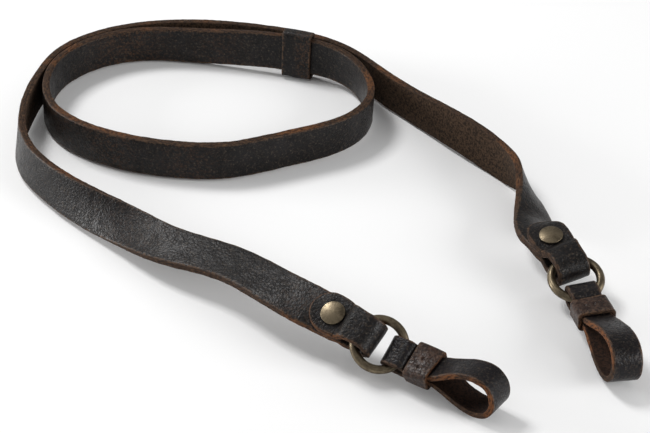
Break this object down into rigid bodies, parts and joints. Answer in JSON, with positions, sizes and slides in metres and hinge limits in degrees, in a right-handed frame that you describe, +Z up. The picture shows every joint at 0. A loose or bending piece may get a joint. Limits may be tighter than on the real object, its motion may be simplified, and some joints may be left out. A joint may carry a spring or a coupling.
{
  "type": "leather camera neck strap",
  "caption": "Narrow leather camera neck strap lying in an oval turn, its riveted ends holding wire rings with small leather loops for the camera's lugs.",
  "frame": {"origin": "on the table, under the middle of the strap's box", "axes": "+Z up from the table, +Y away from the viewer of the picture, +X to the viewer's right"},
  "size_m": [0.218, 0.2282, 0.0205],
  "materials": {
    "strap_leather": "near-black oiled leather, worn brown along its cut edges",
    "loop_leather": "near-black oiled leather with rust-brown cut edges",
    "sleeve_leather": "worn dark brown leather",
    "antique_brass": "antique brass, brushed and darkened"
  },
  "bodies": {
    "root": {"strap_run": "strap_leather", "strap_turn": "strap_leather", "slide_keeper": "strap_leather", "ring_a": "antique_brass", "ring_b": "antique_brass", "rivet_cap_a": "antique_brass", "rivet_cap_b": "antique_brass", "rivet_back_a": "antique_brass", "rivet_back_b": "antique_brass", "camera_loop_a": "loop_leather", "camera_loop_b": "loop_leather", "loop_sleeve_a": "sleeve_leather", "loop_sleeve_b": "sleeve_leather"}
  },
  "joints": []
}
